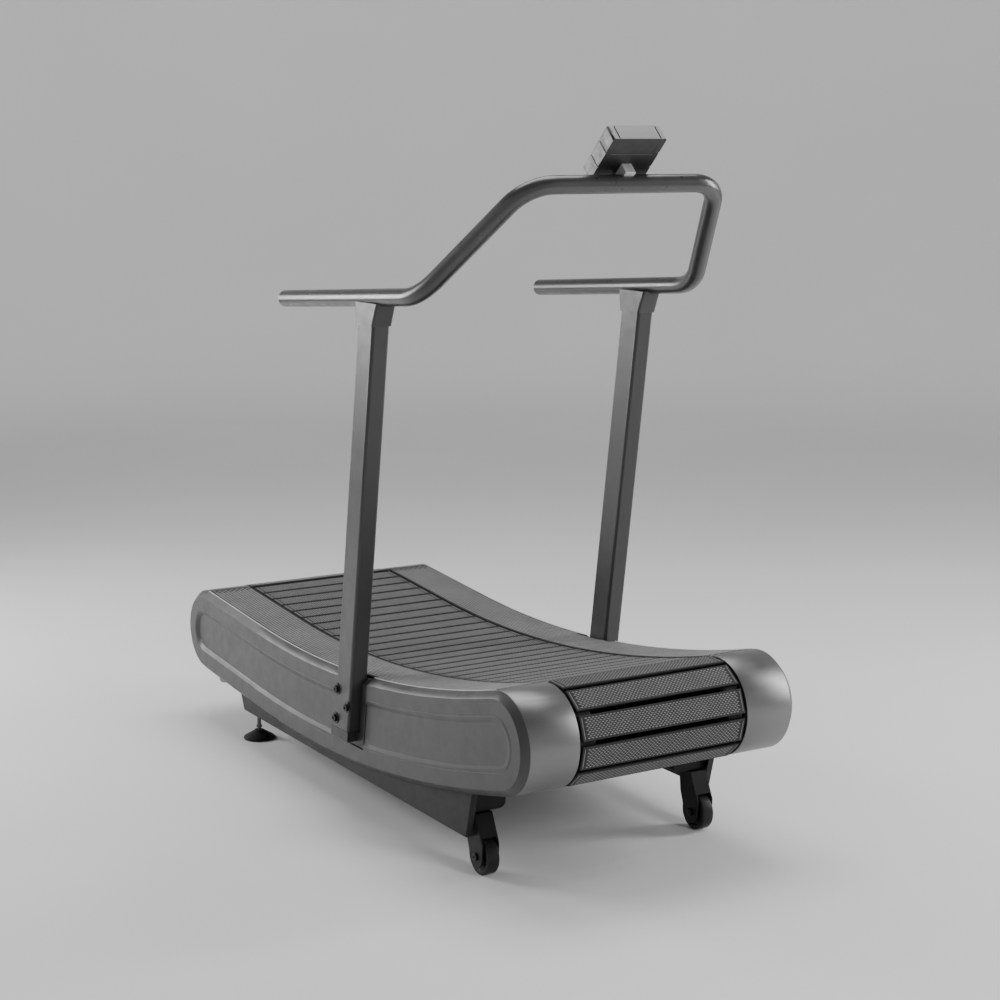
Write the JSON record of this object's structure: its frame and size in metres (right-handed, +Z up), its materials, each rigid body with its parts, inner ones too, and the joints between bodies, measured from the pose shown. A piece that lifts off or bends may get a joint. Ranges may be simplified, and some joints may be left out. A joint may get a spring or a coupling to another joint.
{
  "type": "curved manual treadmill",
  "caption": "Self-powered running machine: a slatted belt over a concave roller deck, side casings, leaning posts, a bent one-piece handlebar and a small console.",
  "frame": {"origin": "on the floor, under the middle of the machine's length and width", "axes": "+X forward (the end with the transport wheels), +Y to the runner's left, +Z up"},
  "size_m": [1.779, 0.775, 1.6146],
  "materials": {
    "casing_paint": "satin dark warm grey",
    "post_paint": "satin dark warm grey",
    "frame_black": "satin black powder coat",
    "cap_metal": "satin",
    "rail_polymer": "fine grid texture",
    "wheel_polymer": "smooth polyurethane",
    "foot_rubber": "matte",
    "stem_steel": "black zinc",
    "black_fastener": "black oxide",
    "bar_metal": "satin metallic grey",
    "black_plastic": "moulded",
    "slat_metal": "black anodised",
    "tread_rubber": "fine raised weave",
    "belt_rubber": "matte",
    "bearing_steel": "ground steel",
    "pulley_metal": "cast and turned",
    "cable_rubber": "matte",
    "console_plastic": "fine moulded grain",
    "lens_glass": "clear acrylic",
    "board": "solder mask",
    "cell_metal": "printed sleeve",
    "bracket_metal": "satin",
    "button_rubber": "soft matte"
  },
  "bodies": {
    "frame": {"side_casing_l": "casing_paint", "side_casing_r": "casing_paint", "post_l": "post_paint", "post_r": "post_paint", "post_collar_l": "post_paint", "post_collar_r": "post_paint", "post_bracket_l": "post_paint", "post_bracket_r": "post_paint", "skirt_l": "post_paint", "skirt_r": "post_paint", "side_frame_l": "frame_black", "side_frame_r": "frame_black", "base_rail_l": "frame_black", "base_rail_r": "frame_black", "wheel_fork_l": "frame_black", "wheel_fork_r": "frame_black", "nose_cap_l": "cap_metal", "nose_cap_r": "cap_metal", "tail_cap_l": "cap_metal", "tail_cap_r": "cap_metal", "foot_rail_l": "rail_polymer", "foot_rail_r": "rail_polymer", "cross_members": "frame_black", "post_bolts": "black_fastener", "handlebar": "bar_metal", "handlebar_plugs": "black_plastic", "belt_slats": "slat_metal", "slat_treads": "tread_rubber", "drive_belts": "belt_rubber", "deck_rollers": "bearing_steel", "roller_pins": "bearing_steel", "bearing_housings": "frame_black", "axle_bearings": "bearing_steel", "tension_bolts": "black_fastener", "speed_sensor": "black_plastic", "sensor_cable": "cable_rubber", "wheel_bolts": "black_fastener", "foot_locknuts": "black_fastener", "lift_handle": "bar_metal", "console_back": "console_plastic", "console_front": "console_plastic", "display_lens": "lens_glass", "circuit_board": "board", "batteries": "cell_metal", "console_bracket": "bracket_metal"},
    "front_axle_group": {"front_axle": "bearing_steel", "front_pulleys": "pulley_metal", "magnet_ring": "black_plastic"},
    "rear_axle_group": {"rear_axle": "bearing_steel", "rear_pulleys": "pulley_metal"},
    "wheel_left": {"transport_wheel_l": "wheel_polymer"},
    "wheel_right": {"transport_wheel_r": "wheel_polymer"},
    "stem_left": {"foot_stem_l": "stem_steel"},
    "stem_right": {"foot_stem_r": "stem_steel"},
    "pad_left": {"foot_pad_l": "foot_rubber"},
    "pad_right": {"foot_pad_r": "foot_rubber"},
    "battery_door": {"battery_cover": "console_plastic"},
    "button_left": {"button_left": "button_rubber"},
    "button_middle": {"button_middle": "button_rubber"},
    "button_right": {"button_right": "button_rubber"}
  },
  "joints": [
    {"name": "front_axle_spin", "type": "hinge", "parent": "frame", "child": "front_axle_group", "pos_m": [0.7755, 0, 0.34481], "axis": [0, 1, 0], "continuous": true},
    {"name": "rear_axle_spin", "type": "hinge", "parent": "frame", "child": "rear_axle_group", "pos_m": [-0.7755, 0, 0.261], "axis": [0, 1, 0], "continuous": true},
    {"name": "wheel_spin_left", "type": "hinge", "parent": "frame", "child": "wheel_left", "pos_m": [0.618, 0.29, 0.0425], "axis": [0, 1, 0], "continuous": true},
    {"name": "wheel_spin_right", "type": "hinge", "parent": "frame", "child": "wheel_right", "pos_m": [0.618, -0.29, 0.0425], "axis": [0, 1, 0], "continuous": true},
    {"name": "foot_height_left", "type": "slide", "parent": "frame", "child": "stem_left", "axis": [0, 0, -1], "range_m": [0, 0.02]},
    {"name": "foot_swivel_left", "type": "hinge", "parent": "stem_left", "child": "pad_left", "pos_m": [-0.577, 0.285, 0.009], "axis": [0, 1, 0], "range_deg": [-8, 8]},
    {"name": "foot_height_right", "type": "slide", "parent": "frame", "child": "stem_right", "axis": [0, 0, -1], "range_m": [0, 0.02]},
    {"name": "foot_swivel_right", "type": "hinge", "parent": "stem_right", "child": "pad_right", "pos_m": [-0.577, -0.285, 0.009], "axis": [0, 1, 0], "range_deg": [-8, 8]},
    {"name": "battery_door_slide", "type": "slide", "parent": "frame", "child": "battery_door", "axis": [0.7193, 0, 0.6947], "range_m": [0, 0.045]},
    {"name": "button_left_press", "type": "slide", "parent": "frame", "child": "button_left", "axis": [0.6947, 0, -0.7193], "range_m": [0, 0.0015], "stiffness_N_per_m": 300},
    {"name": "button_middle_press", "type": "slide", "parent": "frame", "child": "button_middle", "axis": [0.6947, 0, -0.7193], "range_m": [0, 0.0015], "stiffness_N_per_m": 300},
    {"name": "button_right_press", "type": "slide", "parent": "frame", "child": "button_right", "axis": [0.6947, 0, -0.7193], "range_m": [0, 0.0015], "stiffness_N_per_m": 300}
  ],
  "couplings": [
    {"joint": "rear_axle_spin", "follows": "front_axle_spin", "ratio": 1}
  ]
}
